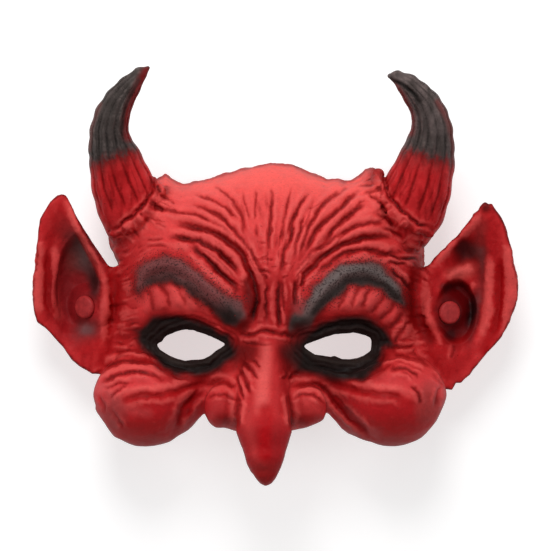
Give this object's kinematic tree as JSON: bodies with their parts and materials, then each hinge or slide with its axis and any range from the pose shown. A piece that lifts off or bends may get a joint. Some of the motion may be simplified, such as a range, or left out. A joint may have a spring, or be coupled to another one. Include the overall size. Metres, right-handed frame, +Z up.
{
  "type": "foam devil half mask",
  "caption": "Half-face foam mask of a devil with curved horns, pointed ears, hooked nose, furrowed brow and open eye holes, lying face up on its rim",
  "frame": {"origin": "middle of the bounding box, on the surface that the rim lies on", "axes": "+X to the right of a front view, ear to ear; +Y to the top of the head; +Z up, the way the face looks"},
  "size_m": [0.2451, 0.2036, 0.0923],
  "materials": {
    "foam_latex": "soft matt foam latex, painted red with grey and black washes",
    "strap_plastic": "moulded strap button painted over in dull red"
  },
  "bodies": {
    "root": {"mask_shell": "foam_latex", "strap_button_left": "strap_plastic", "strap_button_right": "strap_plastic"}
  },
  "joints": []
}
